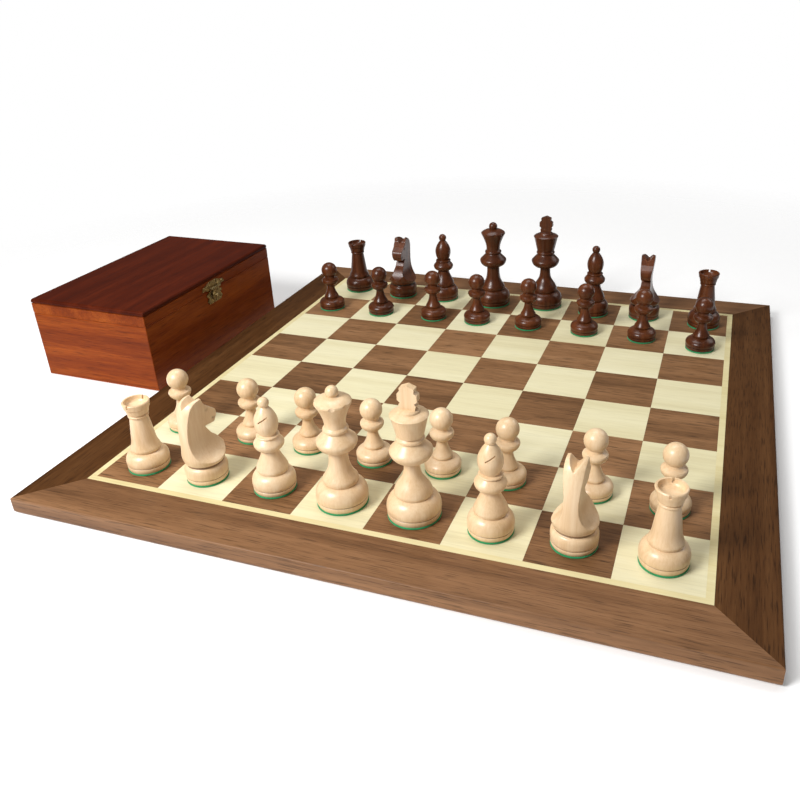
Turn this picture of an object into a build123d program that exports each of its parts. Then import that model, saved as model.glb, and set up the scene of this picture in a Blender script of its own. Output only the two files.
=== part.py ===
"""Wooden chess set: a framed board, thirty-two turned pieces and a hinged storage box.

Millimetres. The origin is the middle of the board's underside. +X runs along the white player's
back rank from left to right, +Y towards the black player, +Z up.
"""
import os

from build123d import *

# Board
SQUARE = 50.0
FIELD = 8 * SQUARE
INLAY_W = 4.5
RAIL_W = 34.0
BOARD = FIELD + 2 * (INLAY_W + RAIL_W)
BOARD_T = 12.5
VENEER = 1.0
JOINT_GAP = 0.04
TONGUE_W = 5.0
TONGUE_T = 4.0
RAIL_TOP_ROUND = 1.0
RAIL_FOOT_ROUND = 3.0

# Chess pieces
FELT = 1.2
FELT_INSET = 0.7
BURN_DEPTH = 0.45
BURN_HALF = 0.35
CREASE = 1.1
SLUG_PLAY = 0.1
SLUG_TOP = 9.0
KING_R = 17.25
QUEEN_R = 16.8
BISHOP_R = 14.4
KNIGHT_R = 14.25
ROOK_R = 14.5
PAWN_R = 12.6

# Storage box
BOX_X = 120.0
BOX_Y = 191.0
BOX_Z = 72.5
SEAM_Z = 59.0
WALL = 6.0
PANEL_T = 3.5
FLOOR_T = 3.0
FLOOR_Z = 3.0
GROOVE = 2.0
LINING = 1.0
EASE = 0.5
SHADOW_H = 0.9
SHADOW_D = 0.8
BOX_MIDDLE = (-313.5, 33.4)
BOX_TURN = -1.0

# Hinges and clasp
LEAF_T = 0.8
KNUCKLE_R = 1.6
PIN_R = 0.75
PIN_PLAY = 0.05
HINGE_L = 24.0
HINGE_LEAF_H = 9.0
HINGE_INSET = 32.0
KNUCKLE_PLAY = 0.15
SCREW_R = 1.3
SCREW_SHANK_R = 0.8
SCREW_HOLE_R = 0.85
SCREW_L = 4.5
HASP_AXIS_UP = 1.6
HASP_AXIS_OUT = 2.2
HASP_PIN_R = 0.6
HASP_KNUCKLE_R = 1.25
KNOB_R = 2.2
KNOB_DROP = 6.0

os.makedirs("parts", exist_ok=True)
written = []


def write(part, label):
    part.label = label
    export_step(part, f"parts/{label}.step")
    written.append(label)


def group(solids, label):
    write(Compound(children=list(solids)), label)


# ---------------------------------------------------------------- board


def mitre_prism(half_a, half_b, side, height):
    """One of the four wedges that a rectangular frame is mitred into, as a tall prism."""
    depth = min(half_a, half_b)
    if side in ("front", "back"):
        sign = -1 if side == "front" else 1
        outer = [(-half_a, sign * half_b), (half_a, sign * half_b)]
        inner = [(half_a - depth, sign * (half_b - depth)), (depth - half_a, sign * (half_b - depth))]
    else:
        sign = -1 if side == "left" else 1
        outer = [(sign * half_a, -half_b), (sign * half_a, half_b)]
        inner = [(sign * (half_a - depth), half_b - depth), (sign * (half_a - depth), depth - half_b)]
    with BuildPart() as wedge:
        with BuildSketch():
            with BuildLine():
                Polyline(*outer, *[p for n, p in enumerate(inner) if n == 0 or p != inner[0]], close=True)
            make_face()
        extrude(amount=height)
    return wedge.part


SIDES = ("front", "back", "left", "right")

with BuildPart() as frame:
    with BuildSketch():
        Rectangle(BOARD, BOARD)
    extrude(amount=BOARD_T)
    top_edges = frame.faces().sort_by(Axis.Z)[-1].edges()
    fillet(top_edges, RAIL_TOP_ROUND)
    foot_edges = frame.faces().sort_by(Axis.Z)[0].edges()
    fillet(foot_edges, RAIL_FOOT_ROUND)
    with BuildSketch():
        Rectangle(FIELD + 2 * INLAY_W, FIELD + 2 * INLAY_W)
    extrude(amount=BOARD_T, mode=Mode.SUBTRACT)
    with BuildSketch(Plane.XY.offset((BOARD_T - TONGUE_T) / 2)):
        Rectangle(FIELD + 2 * INLAY_W + 2 * TONGUE_W, FIELD + 2 * INLAY_W + 2 * TONGUE_W)
    extrude(amount=TONGUE_T, mode=Mode.SUBTRACT)

for side in SIDES:
    with BuildPart() as rail:
        add(frame.part)
        add(mitre_prism(BOARD / 2, BOARD / 2, side, BOARD_T), mode=Mode.INTERSECT)
    write(rail.part, f"frame_rail_{side}")

with BuildPart() as core:
    with BuildSketch(Plane.XY.offset(VENEER)):
        Rectangle(FIELD + 2 * INLAY_W, FIELD + 2 * INLAY_W)
    extrude(amount=BOARD_T - 2 * VENEER)
    with BuildSketch(Plane.XY.offset((BOARD_T - TONGUE_T) / 2)):
        Rectangle(FIELD + 2 * INLAY_W + 2 * TONGUE_W, FIELD + 2 * INLAY_W + 2 * TONGUE_W)
    extrude(amount=TONGUE_T)
write(core.part, "board_core")

with BuildPart() as backing:
    with BuildSketch():
        Rectangle(FIELD + 2 * INLAY_W, FIELD + 2 * INLAY_W)
    extrude(amount=VENEER)
write(backing.part, "backing_veneer")

with BuildPart() as inlay_ring:
    with BuildSketch(Plane.XY.offset(BOARD_T - VENEER)):
        Rectangle(FIELD + 2 * INLAY_W, FIELD + 2 * INLAY_W)
        Rectangle(FIELD, FIELD, mode=Mode.SUBTRACT)
    extrude(amount=VENEER)
strips = []
for side in SIDES:
    with BuildPart() as strip:
        add(inlay_ring.part)
        add(mitre_prism(FIELD / 2 + INLAY_W, FIELD / 2 + INLAY_W, side, BOARD_T), mode=Mode.INTERSECT)
    strips.append(strip.part)
group(strips, "inlay_strips")


def square_middle(file, rank):
    """Middle of a square: file 0 to 7 is a to h, rank 0 to 7 is 1 to 8."""
    return ((file - 3.5) * SQUARE, (rank - 3.5) * SQUARE)


for label, parity in (("dark_squares", 0), ("light_squares", 1)):
    places = [square_middle(f, r) for f in range(8) for r in range(8) if (f + r) % 2 == parity]
    with BuildPart() as squares:
        with BuildSketch(Plane.XY.offset(BOARD_T - VENEER)):
            with Locations(*places):
                Rectangle(SQUARE - JOINT_GAP, SQUARE - JOINT_GAP)
        extrude(amount=VENEER)
    write(squares.part, label)

# ---------------------------------------------------------------- chess pieces


def draw_foot(r, groove_z, skirt_r, skirt_z):
    """Plinth, burnt line and domed shoulder of a piece, up to the crease below its skirt."""
    Line((0, FELT), (r - 0.9, FELT))
    ThreePointArc((r - 0.9, FELT), (r - 0.25, (FELT + groove_z) / 2), (r - 0.3, groove_z - BURN_HALF))
    groove_foot = r - 0.3 - BURN_DEPTH
    Polyline((r - 0.3, groove_z - BURN_HALF), (groove_foot, groove_z), (r - 0.25, groove_z + BURN_HALF))
    Spline(
        (r - 0.25, groove_z + BURN_HALF),
        (r, groove_z + 2.6),
        (skirt_r - CREASE, skirt_z),
        tangents=((0.3, 1), (-1, 0.3)),
        tangent_scalars=(1, 1.2),
    )


def draw_lip(r, foot_z, top_z):
    """Rounded lip of a skirt, out of the crease at its foot, and returns the point where it ends."""
    under = (r - 0.5, foot_z + 0.05)
    end = (r - 0.25, top_z)
    Line((r - CREASE, foot_z), under)
    ThreePointArc(under, (r, (foot_z + top_z) / 2), end)
    return end


def draw_collar(stem_r, foot_z, r, rim_z, top_r, top_z):
    """Saucer on a stem: a bowl below its rim and a straight cone above it, to the crease at its top."""
    bowl = (stem_r + 0.45 * (r - stem_r), foot_z + 0.3)
    Line((stem_r, foot_z), bowl)
    ThreePointArc(bowl, (r - 0.12 * (r - stem_r), (foot_z + rim_z) / 2), (r, rim_z))
    Polyline((r, rim_z), (r - 0.35, rim_z + 0.9), (top_r, top_z))
    return (top_r, top_z)


def draw_bead(start, r, middle_z, half):
    """Thin turned ring that follows a crease, and returns the crease at its other side."""
    low = (r - CREASE * 0.8, middle_z - half)
    high = (r - CREASE * 0.8, middle_z + half)
    Line(start, low)
    ThreePointArc(low, (r, middle_z), high)
    return high


def draw_ball(neck_r, middle_z, r):
    """Outline of a ball from its neck to its top on the axis."""
    start = (neck_r, middle_z - (r**2 - neck_r**2) ** 0.5)
    ThreePointArc(start, (r, middle_z), (0, middle_z + r))
    return start


def body_of(wood, r):
    """A finished piece: its wood bored for the slug, the steel slug and the felt disc."""
    slug_r = r * 0.55
    with BuildPart() as bored:
        add(wood)
        with BuildSketch(Plane.XY.offset(FELT)):
            Circle(slug_r)
        extrude(amount=SLUG_TOP, mode=Mode.SUBTRACT)
    with BuildPart() as slug:
        with BuildSketch(Plane.XY.offset(FELT)):
            Circle(slug_r - SLUG_PLAY)
        extrude(amount=SLUG_TOP - SLUG_PLAY)
    with BuildPart() as felt:
        with BuildSketch():
            Circle(r - FELT_INSET)
        extrude(amount=FELT)
    return [bored.part, slug.part, felt.part]


# Pawn
with BuildPart() as pawn:
    with BuildSketch(Plane.XZ):
        with BuildLine():
            draw_foot(PAWN_R, 4.0, 7.1, 11.4)
            lip_end = draw_lip(7.1, 11.4, 13.7)
            Spline(lip_end, (5.5, 16.1), (4.5, 18.6), (3.65, 22.8), (3.6, 25.2))
            collar_end = draw_collar(3.6, 25.2, 8.2, 29.9, 5.2, 32.3)
            ball_start = draw_ball(5.0, 39.8, 7.7)
            Line(collar_end, ball_start)
            Line((0, 47.5), (0, FELT))
        make_face()
    revolve(axis=Axis.Z)

# Rook
ROOK_TOP = 51.5
with BuildPart() as rook:
    with BuildSketch(Plane.XZ):
        with BuildLine():
            draw_foot(ROOK_R, 5.0, 10.2, 14.4)
            lip_end = draw_lip(10.2, 14.4, 17.0)
            Spline(lip_end, (8.9, 19.6), (7.9, 25.6), (7.1, 32.0), (6.1, 39.4))
            bead_end = draw_bead((6.1, 39.4), 6.9, 41.0, 1.1)
            Polyline(bead_end, (7.2, 43.0), (8.0, 46.8), (7.8, 47.0), (8.6, 47.3))
            Polyline((8.6, 47.3), (9.2, ROOK_TOP - 0.6), (8.8, ROOK_TOP), (7.7, ROOK_TOP - 0.1))
            Polyline((7.7, ROOK_TOP - 0.1), (7.1, 48.9), (6.2, 48.0), (0, 47.7), (0, FELT))
        make_face()
    revolve(axis=Axis.Z)
    with BuildSketch(Plane.XY.offset(48.9)):
        Rectangle(1.3, 30)
    extrude(amount=5, mode=Mode.SUBTRACT)

# Bishop
SLIT_Z = 54.6
SLIT_SLOPE = 32
with BuildPart() as bishop:
    with BuildSketch(Plane.XZ):
        with BuildLine():
            draw_foot(BISHOP_R, 4.6, 10.5, 14.6)
            lip_end = draw_lip(10.5, 14.6, 17.8)
            Spline(lip_end, (9.0, 20.8), (7.2, 24.6), (5.9, 28.3), (5.6, 31.0))
            collar_end = draw_collar(5.6, 31.0, 9.9, 35.4, 7.0, 39.6)
            bead_end = draw_bead(collar_end, 7.5, 40.7, 0.8)
            Line(bead_end, (5.5, 41.9))
            Spline((5.5, 41.9), (7.2, 46.2), (7.7, 50.5), (5.9, 56.7), (2.6, 61.4))
            finial_start = draw_ball(2.2, 64.1, 3.7)
            Line((2.6, 61.4), finial_start)
            Line((0, 67.8), (0, FELT))
        make_face()
    revolve(axis=Axis.Z)
    with BuildSketch(Plane.XZ.offset(5.2)):
        with Locations(Location((0, SLIT_Z), SLIT_SLOPE)):
            Rectangle(7.8, 0.9)
    extrude(amount=6, mode=Mode.SUBTRACT)

# Queen
with BuildPart() as queen:
    with BuildSketch(Plane.XZ):
        with BuildLine():
            draw_foot(QUEEN_R, 5.2, 11.4, 16.1)
            lip_end = draw_lip(11.4, 16.1, 19.6)
            Spline(lip_end, (9.4, 22.2), (7.7, 25.6), (6.45, 31.0), (6.2, 40.2))
            collar_end = draw_collar(6.2, 40.2, 13.0, 46.2, 7.4, 52.4)
            bead_end = draw_bead(collar_end, 8.1, 54.3, 1.5)
            Line(bead_end, (6.7, 56.4))
            Spline((6.7, 56.4), (6.9, 60.6), (8.5, 66.0), (11.3, 72.0))
            Polyline((11.3, 72.0), (11.7, 72.8), (11.5, 73.8))
            ThreePointArc((11.5, 73.8), (8.4, 75.8), (4.4, 76.8))
            ball_start = draw_ball(3.4, 79.6, 4.1)
            Line((4.4, 76.8), ball_start)
            Line((0, 83.7), (0, FELT))
        make_face()
    revolve(axis=Axis.Z)
    with BuildSketch(Plane.XY.offset(71.4)):
        with PolarLocations(14.6, 8, start_angle=22.5):
            Circle(3.6)
    extrude(amount=3.4, mode=Mode.SUBTRACT)

# King
CROSS_FOOT = 75.0
with BuildPart() as king:
    with BuildSketch(Plane.XZ):
        with BuildLine():
            draw_foot(KING_R, 5.2, 12.0, 16.2)
            lip_end = draw_lip(12.0, 16.2, 19.4)
            Spline(lip_end, (10.8, 21.8), (8.8, 24.9), (6.3, 29.0), (5.0, 36.0), (4.9, 40.8))
            collar_end = draw_collar(4.9, 40.8, 13.4, 47.2, 8.1, 53.4)
            bead_end = draw_bead(collar_end, 8.8, 55.4, 1.5)
            Polyline(bead_end, (7.6, 57.4), (8.4, 58.0), (11.2, 70.2), (11.8, 71.4), (10.9, 72.3))
            Polyline((10.9, 72.3), (6.9, 73.6), (6.5, 74.6), (5.2, CROSS_FOOT + 0.4), (0, CROSS_FOOT + 0.4))
            Line((0, CROSS_FOOT + 0.4), (0, FELT))
        make_face()
    revolve(axis=Axis.Z)
    with BuildSketch(Plane.XZ.offset(-2.4)):
        with BuildLine():
            cross_right = [
                (4.6, CROSS_FOOT),
                (5.4, 78.4),
                (4.4, 79.6),
                (6.2, 81.2),
                (6.2, 85.2),
                (4.4, 86.4),
                (4.6, 89.2),
            ]
            cross_left = [(-x, z) for x, z in reversed(cross_right)]
            Polyline(*cross_right, (0, 91.0), *cross_left, close=True)
        make_face()
    extrude(amount=4.8)

# Knight: a turned bell, cut to the horse's side outline and then hollowed on both flanks
BELL_FOOT = 15.0
KNIGHT_NECK_R = 11.9
with BuildPart() as knight_head:
    with BuildSketch(Plane.XZ):
        with BuildLine():
            ThreePointArc((13.0, BELL_FOOT), (14.0, 17.6), (14.3, 21.5))
            Spline((14.3, 21.5), (14.1, 34.0), (13.2, 47.0), (9.5, 58.6), (0, 61.4))
            Polyline((0, 61.4), (0, BELL_FOOT), (13.0, BELL_FOOT))
        make_face()
    revolve(axis=Axis.Z)
    with BuildSketch(Plane.XZ.offset(-20)):
        with BuildLine():
            Polyline((-16, BELL_FOOT - 1), (-16, 64), (0.6, 62))
            Polyline((0.6, 62), (1.8, 57.6), (5.4, 53.2), (10.8, 49.4))
            ThreePointArc((10.8, 49.4), (11.9, 46.2), (11.2, 42.6))
            Polyline((11.2, 42.6), (9.6, 39.8), (1.6, 40.2), (6.0, 33.0))
            ThreePointArc((6.0, 33.0), (11.6, 26.4), (14.4, 19.5))
            Polyline((14.4, 19.5), (14.4, BELL_FOOT - 1), (-16, BELL_FOOT - 1))
        make_face()
    extrude(amount=40, mode=Mode.INTERSECT)
    with BuildSketch(Plane.YZ.offset(-20)):
        with BuildLine():
            Polyline((-15, BELL_FOOT - 1), (-15, 16.0), (-12.4, 18.4))
            Spline((-12.4, 18.4), (-5.4, 27.5), (-4.3, 36.0), (-5.2, 48.0), (-6.1, 62))
            Polyline((-6.1, 62), (-4.6, 62), (0, 56.0), (4.6, 62), (6.1, 62))
            Spline((6.1, 62), (5.2, 48.0), (4.3, 36.0), (5.4, 27.5), (12.4, 18.4))
            Polyline((12.4, 18.4), (15, 16.0), (15, BELL_FOOT - 1), (-15, BELL_FOOT - 1))
        make_face()
    extrude(amount=40, mode=Mode.INTERSECT)

with BuildPart() as knight:
    with BuildSketch(Plane.XZ):
        with BuildLine():
            draw_foot(KNIGHT_R, 4.6, KNIGHT_NECK_R + CREASE, 13.0)
            Polyline((KNIGHT_NECK_R, 13.0), (KNIGHT_NECK_R, BELL_FOOT), (0, BELL_FOOT), (0, FELT))
        make_face()
    revolve(axis=Axis.Z)
    add(knight_head.part)

KINDS = {
    "rook": body_of(rook.part, ROOK_R),
    "knight": body_of(knight.part, KNIGHT_R),
    "bishop": body_of(bishop.part, BISHOP_R),
    "queen": body_of(queen.part, QUEEN_R),
    "king": body_of(king.part, KING_R),
    "pawn": body_of(pawn.part, PAWN_R),
}
BACK_ROW = ("rook", "knight", "bishop", "queen", "king", "bishop", "knight", "rook")
PAWN_ROW = ("pawn",) * 8

# How far each piece stands off the middle of its square, as set down by hand
STRAY = {
    0: ((2, -3), (0, -3), (1, -1), (1, -2), (0, -1), (0, -3), (0, -1), (1, -2)),
    1: ((-6, 1), (3, 2), (0, 1), (1, -1), (1, 0), (-4, 0), (2, 2), (0, -1)),
    6: ((-5, -2), (-1, -2), (4, 0), (-2, 1), (-2, 2), (1, 2), (3, 1), (4, -6)),
    7: ((0, 5), (2, 0), (-3, 2), (0, 1), (1, 8), (1, 0), (-1, 3), (4, -3)),
}
# Which way the pieces that aren't round look, in degrees from +X
FACING = {
    "white_knight_b": 76,
    "white_knight_g": 87,
    "black_knight_b": -92,
    "black_knight_g": -90,
    "white_bishop_c": 18,
    "white_bishop_f": 18,
    "black_bishop_c": 180,
    "black_bishop_f": 180,
}

for rank, kinds in ((0, BACK_ROW), (1, PAWN_ROW), (6, PAWN_ROW), (7, BACK_ROW)):
    colour = "white" if rank < 4 else "black"
    for file, kind in enumerate(kinds):
        unique = kind in ("king", "queen")
        label = f"{colour}_{kind}" if unique else f"{colour}_{kind}_{'abcdefgh'[file]}"
        x, y = square_middle(file, rank)
        dx, dy = STRAY[rank][file]
        place = Location((x + dx, y + dy, BOARD_T), (0, 0, FACING.get(label, 0)))
        group([solid.moved(place) for solid in KINDS[kind]], label)

# ---------------------------------------------------------------- storage box

# The box is drawn about the middle of its underside and then set down beside the board
BOX_PLACE = Location((*BOX_MIDDLE, 0), (0, 0, BOX_TURN))
HALF_X = BOX_X / 2
HALF_Y = BOX_Y / 2


def write_in_box(solids, label):
    placed = [solid.moved(BOX_PLACE) for solid in solids]
    if len(placed) == 1:
        write(placed[0], label)
    else:
        group(placed, label)


with BuildPart() as case:
    with BuildSketch():
        Rectangle(BOX_X, BOX_Y)
    extrude(amount=SEAM_Z)
    fillet(case.edges().filter_by(Axis.Z), EASE)
    chamfer(case.faces().sort_by(Axis.Z)[-1].edges(), EASE)
    with BuildSketch():
        Rectangle(BOX_X - 2 * WALL, BOX_Y - 2 * WALL)
    extrude(amount=SEAM_Z, mode=Mode.SUBTRACT)
    with BuildSketch(Plane.XY.offset(FLOOR_Z)):
        Rectangle(BOX_X - 2 * WALL + 2 * GROOVE, BOX_Y - 2 * WALL + 2 * GROOVE)
    extrude(amount=FLOOR_T, mode=Mode.SUBTRACT)

for side in SIDES:
    with BuildPart() as wall:
        add(case.part)
        add(mitre_prism(HALF_X, HALF_Y, side, SEAM_Z), mode=Mode.INTERSECT)
    write_in_box([wall.part], f"case_wall_{side}")

with BuildPart() as floor:
    with BuildSketch(Plane.XY.offset(FLOOR_Z)):
        Rectangle(BOX_X - 2 * WALL + 2 * GROOVE, BOX_Y - 2 * WALL + 2 * GROOVE)
    extrude(amount=FLOOR_T)
write_in_box([floor.part], "case_floor")

with BuildPart() as lining:
    with BuildSketch(Plane.XY.offset(FLOOR_Z + FLOOR_T)):
        Rectangle(BOX_X - 2 * WALL, BOX_Y - 2 * WALL)
    extrude(amount=LINING)
write_in_box([lining.part], "case_lining")

PANEL_Z = BOX_Z - PANEL_T
with BuildPart() as rim:
    with BuildSketch(Plane.XY.offset(SEAM_Z)):
        Rectangle(BOX_X, BOX_Y)
    extrude(amount=PANEL_Z - SEAM_Z)
    fillet(rim.edges().filter_by(Axis.Z), EASE)
    chamfer(rim.faces().sort_by(Axis.Z)[0].edges(), EASE)
    with BuildSketch(Plane.XY.offset(SEAM_Z)):
        Rectangle(BOX_X - 2 * WALL, BOX_Y - 2 * WALL)
    extrude(amount=PANEL_Z - SEAM_Z, mode=Mode.SUBTRACT)
    with BuildSketch(Plane.XY.offset(PANEL_Z - SHADOW_H)):
        Rectangle(BOX_X, BOX_Y)
        Rectangle(BOX_X - 2 * SHADOW_D, BOX_Y - 2 * SHADOW_D, mode=Mode.SUBTRACT)
    extrude(amount=SHADOW_H, mode=Mode.SUBTRACT)
rim_rails = []
for side in SIDES:
    with BuildPart() as rim_rail:
        add(rim.part)
        add(mitre_prism(HALF_X, HALF_Y, side, BOX_Z), mode=Mode.INTERSECT)
    rim_rails.append(rim_rail.part)
write_in_box(rim_rails, "lid_rim")

with BuildPart() as panel:
    with BuildSketch(Plane.XY.offset(PANEL_Z)):
        Rectangle(BOX_X, BOX_Y)
    extrude(amount=PANEL_T)
    fillet(panel.edges().filter_by(Axis.Z), EASE)
    fillet(panel.faces().sort_by(Axis.Z)[-1].edges(), PANEL_T * 0.6)
write_in_box([panel.part], "lid_panel")

# Butt hinges on the wall away from the board, their axis just outside it on the seam
HINGE_X = -HALF_X - KNUCKLE_R
KNUCKLE_L = HINGE_L / 3
HINGE_YS = (HINGE_INSET - HALF_Y, HALF_Y - HINGE_INSET)


def hinge_leaf(y, up, offsets):
    """A leaf that lies on the wall, with its knuckles round the pin: up is 1 on the lid, -1 below."""
    with BuildPart() as leaf:
        with BuildSketch(Plane.XZ.offset(-(y - HINGE_L / 2))):
            with Locations((-HALF_X - LEAF_T / 2, SEAM_Z + up * HINGE_LEAF_H / 2)):
                Rectangle(LEAF_T, HINGE_LEAF_H)
        extrude(amount=-HINGE_L)
        gaps = [d for d in (-KNUCKLE_L, 0, KNUCKLE_L) if d not in offsets]
        for d in gaps:
            with BuildSketch(Plane.XZ.offset(-(y + d - KNUCKLE_L / 2 - KNUCKLE_PLAY))):
                with Locations((HINGE_X, SEAM_Z)):
                    Circle(KNUCKLE_R + KNUCKLE_PLAY)
            extrude(amount=-(KNUCKLE_L + 2 * KNUCKLE_PLAY), mode=Mode.SUBTRACT)
        for d in offsets:
            with BuildSketch(Plane.XZ.offset(-(y + d - KNUCKLE_L / 2 + KNUCKLE_PLAY))):
                with Locations((HINGE_X, SEAM_Z)):
                    Circle(KNUCKLE_R)
            extrude(amount=-(KNUCKLE_L - 2 * KNUCKLE_PLAY))
            with BuildSketch(Plane.XZ.offset(-(y + d - KNUCKLE_L / 2))):
                with Locations((HINGE_X, SEAM_Z)):
                    Circle(PIN_R + PIN_PLAY)
            extrude(amount=-KNUCKLE_L, mode=Mode.SUBTRACT)
        screw_z = SEAM_Z + up * (HINGE_LEAF_H - 3.2)
        for d in (-KNUCKLE_L, KNUCKLE_L):
            with BuildSketch(Plane.YZ.offset(-HALF_X - LEAF_T)):
                with Locations((y + d, screw_z)):
                    Circle(SCREW_HOLE_R)
            extrude(amount=LEAF_T, mode=Mode.SUBTRACT)
    return leaf.part


def screw(outside_x, inward, y, z):
    """A round-headed screw: outside_x is the face that its head sits on, inward 1 or -1 along X."""
    with BuildPart() as one:
        with BuildSketch(Plane.YZ.offset(outside_x)):
            with Locations((y, z)):
                Circle(SCREW_SHANK_R)
        extrude(amount=inward * SCREW_L)
        with BuildSketch(Plane.YZ.offset(outside_x)):
            with Locations((y, z)):
                Circle(SCREW_R)
        extrude(amount=-inward * 0.6)
        fillet(one.faces().sort_by(Axis.X)[-1 if inward < 0 else 0].edges(), 0.4)
    return one.part


write_in_box([hinge_leaf(y, -1, (-KNUCKLE_L, KNUCKLE_L)) for y in HINGE_YS], "hinge_case_leaves")
write_in_box([hinge_leaf(y, 1, (0,)) for y in HINGE_YS], "hinge_lid_leaves")

hinge_pins = []
for y in HINGE_YS:
    with BuildPart() as hinge_pin:
        with BuildSketch(Plane.XZ.offset(-(y - HINGE_L / 2))):
            with Locations((HINGE_X, SEAM_Z)):
                Circle(PIN_R)
        extrude(amount=-HINGE_L)
    hinge_pins.append(hinge_pin.part)
write_in_box(hinge_pins, "hinge_pins")

# Clasp in the middle of the wall that faces the board
FACE_X = HALF_X
PLATE_T = 0.8


def plate(outline, holes):
    """A thin pressed plate on the clasp's wall, from its outline and its screw places."""
    with BuildPart() as pressed:
        with BuildSketch(Plane.YZ.offset(FACE_X)):
            with BuildLine():
                Polyline(*outline, *[(-y, z) for y, z in reversed(outline)], close=True)
            make_face()
            with Locations(*holes):
                Circle(SCREW_HOLE_R, mode=Mode.SUBTRACT)
        extrude(amount=PLATE_T)
    return pressed.part


lid_plate_outline = [
    (4.0, SEAM_Z + 0.4),
    (9.0, SEAM_Z + 0.4),
    (13.0, SEAM_Z + 2.2),
    (17.0, SEAM_Z + 1.6),
    (15.0, SEAM_Z + 5.4),
    (10.0, SEAM_Z + 6.2),
    (5.0, SEAM_Z + 8.4),
]
lid_plate_screws = ((-12.6, SEAM_Z + 3.9), (12.6, SEAM_Z + 3.9))
case_plate_outline = [
    (8.6, SEAM_Z - 12.6),
    (11.4, SEAM_Z - 9.4),
    (9.2, SEAM_Z - 6.4),
    (12.0, SEAM_Z - 3.6),
    (7.0, SEAM_Z - 0.6),
]
case_plate_screws = ((-8.6, SEAM_Z - 9.6), (8.6, SEAM_Z - 9.6))

HASP_X = FACE_X + HASP_AXIS_OUT
HASP_Z = SEAM_Z + HASP_AXIS_UP

with BuildPart() as clasp_lid_plate:
    add(plate(lid_plate_outline, lid_plate_screws))
    for d in (-1, 1):
        with BuildSketch(Plane.XZ.offset(-(d * 6.1 - 1.4))):
            with Locations((HASP_X, HASP_Z)):
                Circle(HASP_KNUCKLE_R)
            with Locations(((HASP_X + FACE_X + PLATE_T) / 2 - 0.2, HASP_Z)):
                Rectangle(HASP_X - FACE_X - 0.4, 2 * HASP_KNUCKLE_R)
            with Locations((HASP_X, HASP_Z)):
                Circle(HASP_PIN_R, mode=Mode.SUBTRACT)
        extrude(amount=-2.8)
write_in_box([clasp_lid_plate.part], "clasp_lid_plate")

with BuildPart() as hasp_pin:
    with BuildSketch(Plane.XZ.offset(7.5)):
        with Locations((HASP_X, HASP_Z)):
            Circle(HASP_PIN_R)
    extrude(amount=-15)
write_in_box([hasp_pin.part], "hasp_pin")

HASP_T = 0.9
with BuildPart() as hasp:
    with BuildSketch(Plane.XZ.offset(4.4)):
        with Locations((HASP_X, HASP_Z)):
            Circle(HASP_KNUCKLE_R)
    extrude(amount=-8.8)
    with BuildSketch(Plane.YZ.offset(HASP_X)):
        with BuildLine():
            hasp_right = [(4.4, HASP_Z), (4.4, HASP_Z - 4.0), (5.4, HASP_Z - 7.6), (4.2, HASP_Z - 10.6)]
            hasp_left = [(-y, z) for y, z in reversed(hasp_right)]
            Polyline(*hasp_right, *hasp_left, close=True)
        make_face()
        knob_z = SEAM_Z - KNOB_DROP
        with Locations((0, knob_z)):
            Circle(KNOB_R + 0.4, mode=Mode.SUBTRACT)
        with Locations((0, knob_z - 5)):
            Rectangle(2 * KNOB_R + 0.8, 10, mode=Mode.SUBTRACT)
    extrude(amount=HASP_T)
    with BuildSketch(Plane.XZ.offset(5)):
        with Locations((HASP_X, HASP_Z)):
            Circle(HASP_PIN_R + PIN_PLAY)
    extrude(amount=-10, mode=Mode.SUBTRACT)
write_in_box([hasp.part], "clasp_hasp")

with BuildPart() as clasp_case_plate:
    add(plate(case_plate_outline, case_plate_screws))
    with BuildSketch(Plane.YZ.offset(FACE_X + PLATE_T)):
        with Locations((0, SEAM_Z - KNOB_DROP)):
            Circle(1.5)
    extrude(amount=1.6)
    with BuildSketch(Plane.YZ.offset(FACE_X + PLATE_T + 1.6)):
        with Locations((0, SEAM_Z - KNOB_DROP)):
            Circle(KNOB_R)
    extrude(amount=2.4)
    fillet(clasp_case_plate.faces().sort_by(Axis.X)[-1].edges(), 1.5)
write_in_box([clasp_case_plate.part], "clasp_case_plate")

case_screws = []
lid_screws = []
for y in HINGE_YS:
    for d in (-KNUCKLE_L, KNUCKLE_L):
        case_screws.append(screw(-HALF_X - LEAF_T, 1, y + d, SEAM_Z - (HINGE_LEAF_H - 3.2)))
        lid_screws.append(screw(-HALF_X - LEAF_T, 1, y + d, SEAM_Z + (HINGE_LEAF_H - 3.2)))
for y, z in case_plate_screws:
    case_screws.append(screw(FACE_X + PLATE_T, -1, y, z))
for y, z in lid_plate_screws:
    lid_screws.append(screw(FACE_X + PLATE_T, -1, y, z))
write_in_box(case_screws, "case_screws")
write_in_box(lid_screws, "lid_screws")

print(len(written), "sub-parts")
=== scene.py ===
import math
import random

import bmesh
import bpy
import numpy as np
from mathutils import Matrix, Vector


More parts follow.
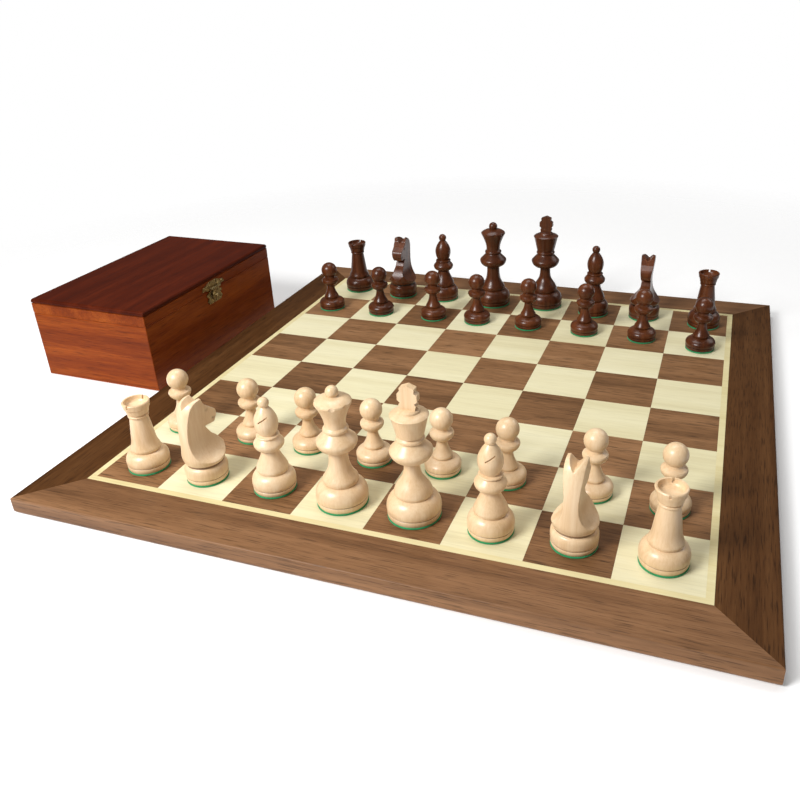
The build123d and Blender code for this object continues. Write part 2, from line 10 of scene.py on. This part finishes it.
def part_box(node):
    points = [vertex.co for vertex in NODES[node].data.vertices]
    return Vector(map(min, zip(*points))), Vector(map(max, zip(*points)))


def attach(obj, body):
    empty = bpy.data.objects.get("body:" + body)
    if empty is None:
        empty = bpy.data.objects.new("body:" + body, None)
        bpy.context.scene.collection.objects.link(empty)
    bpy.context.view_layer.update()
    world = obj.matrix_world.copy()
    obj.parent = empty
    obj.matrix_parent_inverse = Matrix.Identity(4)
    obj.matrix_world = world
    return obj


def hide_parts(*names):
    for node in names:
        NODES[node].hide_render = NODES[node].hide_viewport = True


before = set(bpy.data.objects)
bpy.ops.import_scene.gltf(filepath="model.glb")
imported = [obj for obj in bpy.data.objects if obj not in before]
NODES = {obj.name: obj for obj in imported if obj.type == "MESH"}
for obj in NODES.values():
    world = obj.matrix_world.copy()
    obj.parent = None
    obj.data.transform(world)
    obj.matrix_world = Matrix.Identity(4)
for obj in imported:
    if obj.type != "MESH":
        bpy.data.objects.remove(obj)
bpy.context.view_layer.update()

# Looks of a wooden chess set, in metres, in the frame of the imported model. The board, the box and
# the clasp keep their CAD meshes and get materials. Each chess piece is replaced by two meshes: its
# wood, which is the CAD solid welded and shaded smooth, and a new disc of felt. The knights' wood
# is also remeshed and has a face pressed in.

MM = 0.001
BOARD_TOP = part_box("light_squares")[1].z
SQUARE = (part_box("dark_squares")[1].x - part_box("dark_squares")[0].x) / 8
COLOURS = ("white", "black")
KINDS = ("king", "queen", "bishop", "knight", "rook", "pawn")

# ---------------------------------------------------------------- material graphs


class Graph:
    """A short way to write a node tree: each call adds a node and returns an output socket."""

    def __init__(self, name):
        self.material = bpy.data.materials.new(name)
        self.material.use_nodes = True
        self.tree = self.material.node_tree
        self.shader = self.tree.nodes["Principled BSDF"]

    def link(self, value, socket):
        if isinstance(value, bpy.types.NodeSocket):
            self.tree.links.new(value, socket)
        else:
            socket.default_value = value

    def node(self, kind, inputs=(), **settings):
        made = self.tree.nodes.new(kind)
        for key, value in settings.items():
            setattr(made, key, value)
        for key, value in dict(inputs).items():
            self.link(value, made.inputs[key])
        return made

    def place(self):
        return self.node("ShaderNodeTexCoord").outputs["Object"]

    def stretch(self, vector, scale):
        return self.node("ShaderNodeMapping", {"Vector": vector, "Scale": scale}).outputs["Vector"]

    def noise(self, vector, scale, detail=3.0, roughness=0.55, distortion=0.0):
        inputs = {
            "Vector": vector,
            "Scale": scale,
            "Detail": detail,
            "Roughness": roughness,
            "Distortion": distortion,
        }
        return self.node("ShaderNodeTexNoise", inputs).outputs["Fac"]

    def math(self, operation, a, b):
        return self.node("ShaderNodeMath", {0: a, 1: b}, operation=operation).outputs[0]

    def weighted(self, a, share_a, b, share_b):
        """The sum of two values, each times its share."""
        return self.math("ADD", self.math("MULTIPLY", a, share_a), self.math("MULTIPLY", b, share_b))

    def vector_math(self, operation, a, b=(0, 0, 0)):
        return self.node("ShaderNodeVectorMath", {0: a, 1: b}, operation=operation).outputs[0]

    def scaled(self, vector, factor):
        inputs = {0: vector, "Scale": factor}
        return self.node("ShaderNodeVectorMath", inputs, operation="SCALE").outputs[0]

    def spread(self, value, low, high, out_low=0.0, out_high=1.0):
        inputs = {"Value": value, "From Min": low, "From Max": high, "To Min": out_low, "To Max": out_high}
        return self.node("ShaderNodeMapRange", inputs).outputs["Result"]

    def mix(self, factor, a, b):
        made = self.node("ShaderNodeMix", data_type="RGBA")
        self.link(factor, made.inputs[0])
        self.link(a, made.inputs[6])
        self.link(b, made.inputs[7])
        return made.outputs[2]

    def ramp(self, value, stops):
        made = self.node("ShaderNodeValToRGB", {"Fac": value})
        ramp = made.color_ramp
        while len(ramp.elements) < len(stops):
            ramp.elements.new(0.5)
        for element, (position, colour) in zip(ramp.elements, stops):
            element.position = position
            element.color = (*colour, 1)
        return made.outputs["Color"]

    def attribute(self, name):
        return self.node("ShaderNodeAttribute", attribute_name=name).outputs["Fac"]

    def bump(self, height, strength, distance):
        inputs = {"Height": height, "Strength": strength, "Distance": distance}
        return self.node("ShaderNodeBump", inputs).outputs["Normal"]

    def finish(self, colour, roughness, normal=None, **constants):
        """Fills the shader; constants are its own sockets by name, with _ for a space."""
        self.link(colour, self.shader.inputs["Base Color"])
        self.link(roughness, self.shader.inputs["Roughness"])
        if normal is not None:
            self.link(normal, self.shader.inputs["Normal"])
        for key, value in constants.items():
            self.shader.inputs[key.replace("_", " ")].default_value = value
        return self.material


# Scales of the grain along and across the fibres, per metre
ALONG = 4.5
ACROSS = 105.0
# Noise values between which a surface goes from its least to its greatest roughness
ROUGH_FROM, ROUGH_TO = 0.3, 0.7

# Flat wood. The noises are scale, detail, roughness and distortion.
VENEER_FIGURE = (0.55, 4.0, 0.6, 0.6)
VENEER_FIBRE = (7.0, 6.0, 0.7)
VENEER_PORES = (13.0, 2.0, 0.5)
FIGURE_SHARE, FIBRE_SHARE = 0.62, 0.38
# A pore starts below the first of these noise values and is full below the second
PORE_START, PORE_FULL = 0.45, 0.34
PORE_DARKNESS = 0.35
PORE_HEIGHT = 1.5
# How strong the unevenness is, how much deep pores add to that, and how high it is
VENEER_BUMP, PORE_BUMP = 0.12, 0.15
VENEER_RELIEF = 0.06 * MM
# How far the roughness goes below and above its middle value
VENEER_SMOOTHER, VENEER_ROUGHER = 0.05, 0.07
VENEER_COAT_ROUGHNESS = 0.3
# Each square of the board shifts its grain by up to this many metres and its tone by this much
SQUARE_SHIFT = 3.0
SQUARE_TONE = 0.09

# Turned wood
TURNED_FIGURE = (0.9, 3.0, 0.55, 0.8)
TURNED_FIBRE = (9.0, 5.0, 0.65)
TURNED_SHARE = 0.6
PIECE_TONE = 0.06
# Lathe rings: nearly even round the piece, fine along its axis, per metre
RING_STRETCH = (4, 4, 2600)
RING_NOISE = (1.0, 2.0)
TURNED_FIBRE_HEIGHT, RING_HEIGHT = 0.5, 0.3
TURNED_BUMP = 0.10
TURNED_RELIEF = 0.03 * MM
TURNED_SMOOTHER, TURNED_ROUGHER = 0.04, 0.06

# Felt
NAP = (2600.0, 4.0, 0.7)
MATTED = (240.0, 3.0)
NAP_SHARE, MATTED_SHARE = 0.6, 0.4
NAP_BUMP = 0.6
NAP_RELIEF = 0.2 * MM
FELT_ROUGHNESS = 0.95

# Brass
PATINA = (420.0, 5.0, 0.65)
RELIEF = (700.0, 2.0, 0.4, 1.4)
PATINA_SHARE, RELIEF_SHARE = 0.45, 0.55
BRASS_BUMP = 0.8
BRASS_RELIEF = 0.35 * MM
BRASS_ROUGHNESS = (0.24, 0.5)


def grain_scale(axis):
    """Texture scale that draws the grain out along an axis."""
    return tuple(ALONG if n == "xyz".index(axis) else ACROSS for n in range(3))


def veneer(name, axis, stops, pore_depth, rough, per_square=False, coat=0.05, gloss=0.2):
    """Open-grained flat wood: broad figure, fine fibres and dark pores, all along one axis."""
    g = Graph(name)
    place = g.place()
    if per_square:
        cell = g.vector_math("FLOOR", g.scaled(place, 1 / SQUARE))
        chance = g.node("ShaderNodeTexWhiteNoise", {"Vector": cell}, noise_dimensions="3D").outputs
        place = g.vector_math("ADD", place, g.scaled(chance["Color"], SQUARE_SHIFT))
    drawn = g.stretch(place, grain_scale(axis))
    figure = g.noise(drawn, *VENEER_FIGURE)
    fibre = g.noise(drawn, *VENEER_FIBRE)
    pore = g.spread(g.noise(drawn, *VENEER_PORES), PORE_START, PORE_FULL)
    value = g.weighted(figure, FIGURE_SHARE, fibre, FIBRE_SHARE)
    if per_square:
        value = g.math("ADD", value, g.spread(chance["Value"], 0, 1, -SQUARE_TONE, SQUARE_TONE))
    pore_colour = (*[channel * PORE_DARKNESS for channel in stops[0][1]], 1)
    colour = g.mix(g.math("MULTIPLY", pore, pore_depth), g.ramp(value, stops), pore_colour)
    height = g.math("SUBTRACT", fibre, g.math("MULTIPLY", pore, PORE_HEIGHT))
    normal = g.bump(height, VENEER_BUMP + PORE_BUMP * pore_depth, VENEER_RELIEF)
    least, greatest = rough - VENEER_SMOOTHER, rough + VENEER_ROUGHER
    roughness = g.spread(fibre, ROUGH_FROM, ROUGH_TO, least, greatest)
    constants = {"Coat_Weight": coat, "Coat_Roughness": VENEER_COAT_ROUGHNESS, "Specular_IOR_Level": gloss}
    return g.finish(colour, roughness, normal, **constants)


def turned_wood(name, stops, burnt, rough, coat, coat_rough, gloss):
    """Close-grained turned wood with its fibres upright, fine lathe rings and a burnt line; the same dark
    colour also marks the knights' neck rings and paints shade into their dents.
    """
    g = Graph(name)
    place = g.place()
    tone = g.attribute("tone")
    offset = g.node("ShaderNodeCombineXYZ", {"X": tone, "Y": tone, "Z": tone}).outputs[0]
    drawn = g.stretch(g.vector_math("ADD", place, offset), grain_scale("z"))
    figure = g.noise(drawn, *TURNED_FIGURE)
    fibre = g.noise(drawn, *TURNED_FIBRE)
    value = g.weighted(figure, TURNED_SHARE, fibre, 1 - TURNED_SHARE)
    value = g.math("ADD", value, g.spread(tone, 0, 1, -PIECE_TONE, PIECE_TONE))
    # The burnt colour goes on the burnt line, on a knight's neck ring and as painted shade in a knight's
    # dents
    colour = g.mix(g.attribute("burn_and_dent_shade"), g.ramp(value, stops), (*burnt, 1))
    rings = g.noise(g.stretch(place, RING_STRETCH), *RING_NOISE)
    height = g.weighted(fibre, TURNED_FIBRE_HEIGHT, rings, RING_HEIGHT)
    normal = g.bump(height, TURNED_BUMP, TURNED_RELIEF)
    least, greatest = rough - TURNED_SMOOTHER, rough + TURNED_ROUGHER
    roughness = g.spread(fibre, ROUGH_FROM, ROUGH_TO, least, greatest)
    return g.finish(
        colour, roughness, normal, Coat_Weight=coat, Coat_Roughness=coat_rough, Specular_IOR_Level=gloss
    )


def felt_cloth():
    """Short green nap with matted patches."""
    g = Graph("felt_green")
    place = g.place()
    nap = g.noise(place, *NAP)
    matted = g.noise(place, *MATTED)
    colour = g.ramp(g.weighted(nap, NAP_SHARE, matted, MATTED_SHARE), FELT)
    normal = g.bump(nap, NAP_BUMP, NAP_RELIEF)
    return g.finish(colour, FELT_ROUGHNESS, normal, Sheen_Weight=0.4, Sheen_Roughness=0.5)


def antique_brass():
    """Brass with dark and bright patches and a fine uneven relief."""
    g = Graph("brass_antique")
    place = g.place()
    patina = g.noise(place, *PATINA)
    relief = g.noise(place, *RELIEF)
    colour = g.ramp(g.weighted(patina, PATINA_SHARE, relief, RELIEF_SHARE), BRASS)
    normal = g.bump(relief, BRASS_BUMP, BRASS_RELIEF)
    roughness = g.spread(patina, ROUGH_FROM, ROUGH_TO, *BRASS_ROUGHNESS)
    return g.finish(colour, roughness, normal, Metallic=0.95)


# Colours by noise value, dark to light, as linear red, green and blue
WALNUT = ((0.28, (0.105, 0.048, 0.018)), (0.47, (0.225, 0.110, 0.046)), (0.68, (0.345, 0.182, 0.084)))
RAIL_X = ((0.28, (0.085, 0.037, 0.014)), (0.47, (0.175, 0.082, 0.034)), (0.68, (0.275, 0.138, 0.062)))
# Side rails: the same walnut as the front and back rails, painted darker as shade
RAIL_Y_SHADED = ((0.28, (0.030, 0.011, 0.003)), (0.47, (0.072, 0.028, 0.008)), (0.68, (0.125, 0.054, 0.018)))
MAPLE = ((0.28, (0.63, 0.56, 0.33)), (0.48, (0.72, 0.66, 0.42)), (0.7, (0.79, 0.74, 0.51)))
INLAY = ((0.28, (0.58, 0.48, 0.23)), (0.48, (0.68, 0.59, 0.32)), (0.7, (0.75, 0.68, 0.41)))
PALE = ((0.28, (0.64, 0.42, 0.22)), (0.48, (0.76, 0.54, 0.32)), (0.72, (0.86, 0.67, 0.45)))
DARK = ((0.28, (0.030, 0.007, 0.002)), (0.48, (0.080, 0.021, 0.006)), (0.72, (0.170, 0.050, 0.015)))
# The lid's top: the same mahogany as the walls, painted much darker as shade
BOX_TOP_SHADED = ((0.28, (0.028, 0.003, 0.0006)), (0.48, (0.060, 0.007, 0.001)), (0.7, (0.115, 0.016, 0.003)))
BOX_SIDE = ((0.28, (0.095, 0.012, 0.001)), (0.48, (0.210, 0.036, 0.003)), (0.7, (0.370, 0.085, 0.010)))
FIBREBOARD = ((0.28, (0.32, 0.22, 0.13)), (0.48, (0.42, 0.30, 0.19)), (0.7, (0.50, 0.38, 0.26)))
FELT = ((0.3, (0.003, 0.13, 0.04)), (0.55, (0.010, 0.28, 0.09)), (0.75, (0.04, 0.42, 0.15)))
BRASS = ((0.36, (0.05, 0.035, 0.018)), (0.5, (0.3, 0.21, 0.09)), (0.64, (0.82, 0.66, 0.34)))
# Colours of the burnt line, also used as painted shade in the knights' dents
BURNT_AND_DENT_SHADE_PALE = (0.16, 0.075, 0.03)
BURNT_AND_DENT_SHADE_DARK = (0.008, 0.003, 0.002)

materials = {
    "walnut_squares": veneer("walnut_squares", "x", WALNUT, pore_depth=0.75, rough=0.42, per_square=True),
    "maple_squares": veneer("maple_squares", "x", MAPLE, pore_depth=0.10, rough=0.40, per_square=True),
    "rail_x": veneer("walnut_rail_x", "x", RAIL_X, pore_depth=0.55, rough=0.42),
    # The left and right rails get the walnut painted darker as shade
    "rail_y": veneer("walnut_rail_y_painted_shade", "y", RAIL_Y_SHADED, pore_depth=0.6, rough=0.5, coat=0.0, gloss=0.08),
    "inlay": veneer("maple_inlay", "x", INLAY, pore_depth=0.06, rough=0.42),
    "fibreboard": veneer("fibreboard_core", "x", FIBREBOARD, pore_depth=0.0, rough=0.8, coat=0.0),
    # The lid's top gets the mahogany painted darker as shade
    "box_top": veneer("mahogany_top_painted_shade", "y", BOX_TOP_SHADED, pore_depth=0.35, rough=0.42, coat=0.02, gloss=0.07),
    "box_x": veneer("mahogany_short", "x", BOX_SIDE, pore_depth=0.45, rough=0.42, coat=0.02, gloss=0.1),
    "box_y": veneer("mahogany_long", "y", BOX_SIDE, pore_depth=0.45, rough=0.42, coat=0.02, gloss=0.1),
    "white": turned_wood(
        "turned_pale", PALE, BURNT_AND_DENT_SHADE_PALE, rough=0.36, coat=0.2, coat_rough=0.2, gloss=0.45
    ),
    "black": turned_wood(
        "turned_dark", DARK, BURNT_AND_DENT_SHADE_DARK, rough=0.30, coat=0.14, coat_rough=0.16, gloss=0.3
    ),
    "felt": felt_cloth(),
    "brass": antique_brass(),
}

# ---------------------------------------------------------------- CAD nodes that stay


def paint(key, *names):
    """Gives CAD nodes a material in place of the one that they were packed with."""
    for name in names:
        slots = NODES[name].material_slots
        if not slots:
            NODES[name].data.materials.append(materials[key])
        for slot in slots:
            slot.material = materials[key]


paint("walnut_squares", "dark_squares")
paint("maple_squares", "light_squares")
paint("rail_x", "frame_rail_front", "frame_rail_back", "backing_veneer")
paint("rail_y", "frame_rail_left", "frame_rail_right")
paint("inlay", "inlay_strips")
paint("fibreboard", "board_core")
paint("box_top", "lid_panel")
paint("box_x", "case_wall_front", "case_wall_back", "case_floor")
paint("box_y", "case_wall_left", "case_wall_right", "lid_rim")
paint("felt", "case_lining")
paint("brass", "hinge_case_leaves", "hinge_lid_leaves", "hinge_pins", "case_screws", "lid_screws")
paint("brass", "hasp_pin", "clasp_lid_plate", "clasp_case_plate", "clasp_hasp")

# ---------------------------------------------------------------- meshes

# Points nearer to each other than this are one point
WELD = 0.002 * MM
# Edges sharper than this stay sharp
SHARP = math.radians(32)
dice = random.Random(7)


def points_of(mesh):
    flat = np.zeros(len(mesh.vertices) * 3)
    mesh.vertices.foreach_get("co", flat)
    return flat.reshape(-1, 3)


def welded(node):
    """The points and triangles of a CAD node, without double points and empty triangles."""
    mesh = NODES[node].data
    mesh.calc_loop_triangles()
    points = points_of(mesh)
    triangles = np.zeros(len(mesh.loop_triangles) * 3, int)
    mesh.loop_triangles.foreach_get("vertices", triangles)
    keys = np.round(points / WELD).astype(np.int64)
    _, first, renamed = np.unique(keys, axis=0, return_index=True, return_inverse=True)
    triangles = renamed.reshape(-1)[triangles].reshape(-1, 3)
    a, b, c = triangles.T
    return points[first], triangles[(a != b) & (b != c) & (c != a)]


def connected(count, triangles):
    """A label for each point, the same for all points that triangles join."""
    label = np.arange(count)
    while True:
        least = label[triangles].min(axis=1)
        after = label.copy()
        for corner in triangles.T:
            np.minimum.at(after, corner, least)
        after = after[after]
        if (after == label).all():
            return label
        label = after


def solids_of(node):
    """The separate solids of a CAD node as (points, triangles), tallest first."""
    points, triangles = welded(node)
    label = connected(len(points), triangles)
    solids = []
    for one in np.unique(label[triangles]):
        mine = triangles[label[triangles[:, 0]] == one]
        used, renamed = np.unique(mine, return_inverse=True)
        solids.append((points[used], renamed.reshape(-1, 3)))
    return sorted(solids, key=lambda solid: np.ptp(solid[0][:, 2]), reverse=True)


def new_piece(name, mesh, material):
    piece = bpy.data.objects.new(name, mesh)
    bpy.context.scene.collection.objects.link(piece)
    mesh.materials.append(material)
    return piece


def smooth(piece):
    """Round shading that breaks at the turned edges."""
    piece.data.shade_smooth()
    piece.data.set_sharp_from_angle(angle=SHARP)


def mark(piece, name, values):
    """Stores a value for each point of the mesh, for its material to read."""
    layer = piece.data.attributes.new(name, "FLOAT", "POINT")
    layer.data.foreach_set("value", np.broadcast_to(values, len(piece.data.vertices)).astype(np.float32))


# ---------------------------------------------------------------- felt

FELT_SEGMENTS = 96
# How far the felt stands out past the CAD felt, in metres, and how uneven its rim is, in millimetres
FELT_PROUD = 0.5 * MM
FELT_FRAY = 0.09
# The rim from its foot up: share of the radius, share of the height
FELT_RIM = ((0.97, 0.0), (1.0, 0.3), (1.0, 0.7), (0.98, 1.0))


def felt_disc(name, middle, radius, foot, top):
    """A disc of felt with a soft, slightly uneven rim."""
    disc = bmesh.new()
    rows = []
    for share, level in FELT_RIM:
        row = []
        for step in range(FELT_SEGMENTS):
            angle = step * math.tau / FELT_SEGMENTS
            r = radius * share - dice.uniform(0, FELT_FRAY) * MM
            z = foot + (top - foot) * level
            row.append(disc.verts.new((middle.x + r * math.cos(angle), middle.y + r * math.sin(angle), z)))
        rows.append(row)
    for low, high in zip(rows, rows[1:]):
        for step in range(FELT_SEGMENTS):
            after = (step + 1) % FELT_SEGMENTS
            disc.faces.new((low[step], low[after], high[after], high[step]))
    disc.faces.new(list(reversed(rows[0])))
    disc.faces.new(rows[-1])
    mesh = bpy.data.meshes.new(name)
    disc.to_mesh(mesh)
    disc.free()
    return new_piece(name, mesh, materials["felt"])


# ---------------------------------------------------------------- knights

# Which way the knights look, in degrees from +X
KNIGHT_FACING = {
    "white_knight_b": 76,
    "white_knight_g": 87,
    "black_knight_b": -92,
    "black_knight_g": -90,
}
# Dents that make a knight's face: along the look, height above the board, from the middle plane,
# then radius and depth, all in millimetres
KNIGHT_DENTS = (
    (4.2, 51.4, 5.2, 1.1, 0.55),
    (10.2, 46.9, 4.2, 0.7, 0.5),
    (8.6, 43.2, 4.6, 0.75, 0.55),
    (10.0, 43.0, 4.2, 0.75, 0.6),
    (11.4, 42.8, 3.2, 0.75, 0.6),
)
KNIGHT_VOXEL = 0.3 * MM
KNIGHT_SOFTENING = (2, 0.5)
# No point goes in deeper than this, in millimetres, and the deepest is this much darkened as painted shade
KNIGHT_DEEPEST = 0.7
KNIGHT_SHADE = 0.5


def remeshed(piece):
    """The mesh of a piece in even steps, with its cut edges rounded a little."""
    remesh = piece.modifiers.new("even", "REMESH")
    remesh.mode = "VOXEL"
    remesh.voxel_size = KNIGHT_VOXEL
    soften = piece.modifiers.new("soften", "SMOOTH")
    soften.iterations, soften.factor = KNIGHT_SOFTENING
    bpy.context.view_layer.update()
    mesh = bpy.data.meshes.new_from_object(piece.evaluated_get(bpy.context.evaluated_depsgraph_get()))
    piece.modifiers.clear()
    return mesh


def carve_knight(piece, node, middle, material):
    """Remeshes a knight, presses in its face and returns the painted shade of the dents at each point."""
    mesh = remeshed(piece)
    piece.data = mesh
    mesh.materials.clear()
    mesh.materials.append(material)
    angle = math.radians(KNIGHT_FACING[node])
    points = points_of(mesh)
    normals = np.zeros(points.size)
    mesh.vertices.foreach_get("normal", normals)
    away = (points - np.array((middle[0], middle[1], BOARD_TOP))) / MM
    along = away[:, 0] * math.cos(angle) + away[:, 1] * math.sin(angle)
    aside = np.abs(away[:, 1] * math.cos(angle) - away[:, 0] * math.sin(angle))
    depth = np.zeros(len(points))
    for at_along, at_height, at_aside, radius, dent in KNIGHT_DENTS:
        square = (along - at_along) ** 2 + (aside - at_aside) ** 2 + (away[:, 2] - at_height) ** 2
        depth += dent * np.exp(-square / radius**2)
    points -= normals.reshape(-1, 3) * np.minimum(depth, KNIGHT_DEEPEST)[:, None] * MM
    mesh.vertices.foreach_set("co", points.ravel())
    mesh.update()
    # The dents are darkened as painted shade, the deepest the darkest
    return np.clip(depth / KNIGHT_DEEPEST, 0, 1) * KNIGHT_SHADE


# ---------------------------------------------------------------- chess pieces

# Height of the burnt line above the board for each kind of piece, how far it reaches up and down,
# and how far in from the rim, all in millimetres
BURN_Z = {"king": 5.2, "queen": 5.2, "bishop": 4.6, "knight": 4.6, "rook": 5.0, "pawn": 4.0}
BURN_REACH = 0.34
BURN_INSET = 1.5
# The dark ring round a knight's neck: from and to these heights above the board, within this
# radius, in millimetres, and how dark it is
KNIGHT_NECK = (13.0, 15.0, 12.3)
KNIGHT_NECK_SHADE = 0.8


def burn_and_dent_shade_of(points, middle, rim, kind, shade):
    """How burnt each point of a piece's wood is, with a knight's dark neck ring and the painted shade of
    its dents; shade is the painted shade that the dents give.
    """
    level = points[:, 2] - BOARD_TOP
    out = np.hypot(points[:, 0] - middle[0], points[:, 1] - middle[1])
    line = np.clip(1 - np.abs(level - BURN_Z[kind] * MM) / (BURN_REACH * MM), 0, 1)
    line = line * (out > rim - BURN_INSET * MM)
    if kind == "knight":
        low, high, radius = KNIGHT_NECK
        neck = (level > low * MM) & (level < high * MM) & (out < radius * MM)
        # Adds the painted shade of the dents and the dark neck ring
        line = np.maximum(np.maximum(line, shade), neck * KNIGHT_NECK_SHADE)
    return line


def make_piece(node, colour, kind):
    """Replaces a CAD chess piece by its wood and its felt."""
    solids = solids_of(node)
    wood_points, wood_triangles = solids[0]
    felt_points = solids[-1][0]
    low, high = felt_points.min(axis=0), felt_points.max(axis=0)
    middle = (low + high) / 2
    rim = (high[0] - low[0]) / 2
    mesh = bpy.data.meshes.new(f"{node}_wood")
    mesh.from_pydata(wood_points.tolist(), [], wood_triangles.tolist())
    wood = new_piece(f"{node}_wood", mesh, materials[colour])
    # A knight's dents give a painted shade that goes in with its burnt line
    shade = carve_knight(wood, node, middle, materials[colour]) if kind == "knight" else 0
    smooth(wood)
    mark(wood, "tone", dice.random())
    mark(wood, "burn_and_dent_shade", burn_and_dent_shade_of(points_of(wood.data), middle, rim, kind, shade))
    felt = felt_disc(f"{node}_felt", Vector(middle), rim + FELT_PROUD, low[2], high[2])
    smooth(felt)
    for piece, slot in ((wood, "boxwood" if colour == "white" else "dark_wood"), (felt, "felt")):
        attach(piece, node)
        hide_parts(node)


for colour in COLOURS:
    for kind in KINDS:
        for node in sorted(n for n in NODES if n.startswith(f"{colour}_{kind}")):
            make_piece(node, colour, kind)

# ---------------------------------------------------------------- floor

# The floor is white paper, solid to the first of these distances and gone at the second
FLOOR_FADE = (0.36, 0.80)
PAPER = (0.93, 0.93, 0.93, 1)
PAPER_ROUGHNESS = 0.9
PAPER_GLOW = 0.1
WHITE = (1, 1, 1, 1)

half = FLOOR_FADE[1]
floor_mesh = bpy.data.meshes.new("floor")
floor_mesh.from_pydata(
    [(-half, -half, 0), (half, -half, 0), (half, half, 0), (-half, half, 0)], [], [(0, 1, 2, 3)]
)
floor = bpy.data.objects.new("floor", floor_mesh)
bpy.context.scene.collection.objects.link(floor)
paper = Graph("floor_paper")
away = paper.node("ShaderNodeVectorMath", {0: paper.place()}, operation="LENGTH").outputs["Value"]
paper.link(paper.spread(away, *FLOOR_FADE, 1.0, 0.0), paper.shader.inputs["Alpha"])
floor_mesh.materials.append(
    paper.finish(PAPER, PAPER_ROUGHNESS, Emission_Color=WHITE, Emission_Strength=PAPER_GLOW)
)

# ---------------------------------------------------------------- light and camera

# The world: what a camera ray sees, then the dim surround that lights everything else
BACKDROP = (WHITE, 1.0)
SURROUND = ((1.0, 0.97, 0.93, 1), 0.15)

world = bpy.data.worlds.new("studio")
world.use_nodes = True
sky = world.node_tree
seen = sky.nodes.new("ShaderNodeLightPath")
either = sky.nodes.new("ShaderNodeMixShader")
backgrounds = (sky.nodes.new("ShaderNodeBackground"), sky.nodes["Background"])
for slot, (background, (colour, strength)) in enumerate(zip(backgrounds, (SURROUND, BACKDROP)), start=1):
    background.inputs["Color"].default_value = colour
    background.inputs["Strength"].default_value = strength
    sky.links.new(background.outputs[0], either.inputs[slot])
sky.links.new(seen.outputs["Is Camera Ray"], either.inputs[0])
sky.links.new(either.outputs[0], sky.nodes["World Output"].inputs["Surface"])
bpy.context.scene.world = world

# Soft boxes: name, place, what they aim at, width, height, watts
SOFT_BOXES = (
    ("key", (-0.50, -0.85, 0.80), (0, -0.1, 0), 0.45, 0.45, 17),
    ("top", (-0.2, 0.3, 1.4), (0, 0, 0), 0.9, 0.7, 9),
    ("rim", (0.9, 0.9, 0.9), (0, 0, 0), 0.8, 0.6, 3),
)


def soft_box(name, place, aim, width, height, watts):
    lamp = bpy.data.lights.new(name, "AREA")
    lamp.shape = "RECTANGLE"
    lamp.size = width
    lamp.size_y = height
    lamp.energy = watts
    light = bpy.data.objects.new(name, lamp)
    bpy.context.scene.collection.objects.link(light)
    light.location = place
    light.rotation_euler = (Vector(aim) - Vector(place)).to_track_quat("-Z", "Y").to_euler()


for box in SOFT_BOXES:
    soft_box(*box)

CAMERA_PLACE = Vector((0.1837, -0.5478, 0.3140))
CAMERA_AIM = Vector((-0.0252, 0.0177, BOARD_TOP))
CAMERA_ROLL = math.radians(-2.08)
CAMERA_SHIFT = (-0.0521, -0.0377)
# In millimetres
FOCAL_LENGTH = 35.7
SENSOR_WIDTH = 36.0
# Nearest distance that the camera sees
CLIP_START = 0.01

lens = bpy.data.cameras.new("camera")
lens.lens = FOCAL_LENGTH
lens.sensor_width = SENSOR_WIDTH
lens.shift_x, lens.shift_y = CAMERA_SHIFT
lens.clip_start = CLIP_START
camera = bpy.data.objects.new("camera", lens)
bpy.context.scene.collection.objects.link(camera)
look = (CAMERA_AIM - CAMERA_PLACE).to_track_quat("-Z", "Y").to_matrix()
turned = (look @ Matrix.Rotation(CAMERA_ROLL, 3, "Z")).to_4x4()
camera.matrix_world = Matrix.Translation(CAMERA_PLACE) @ turned
bpy.context.scene.camera = camera
bpy.context.scene.view_settings.view_transform = "Standard"
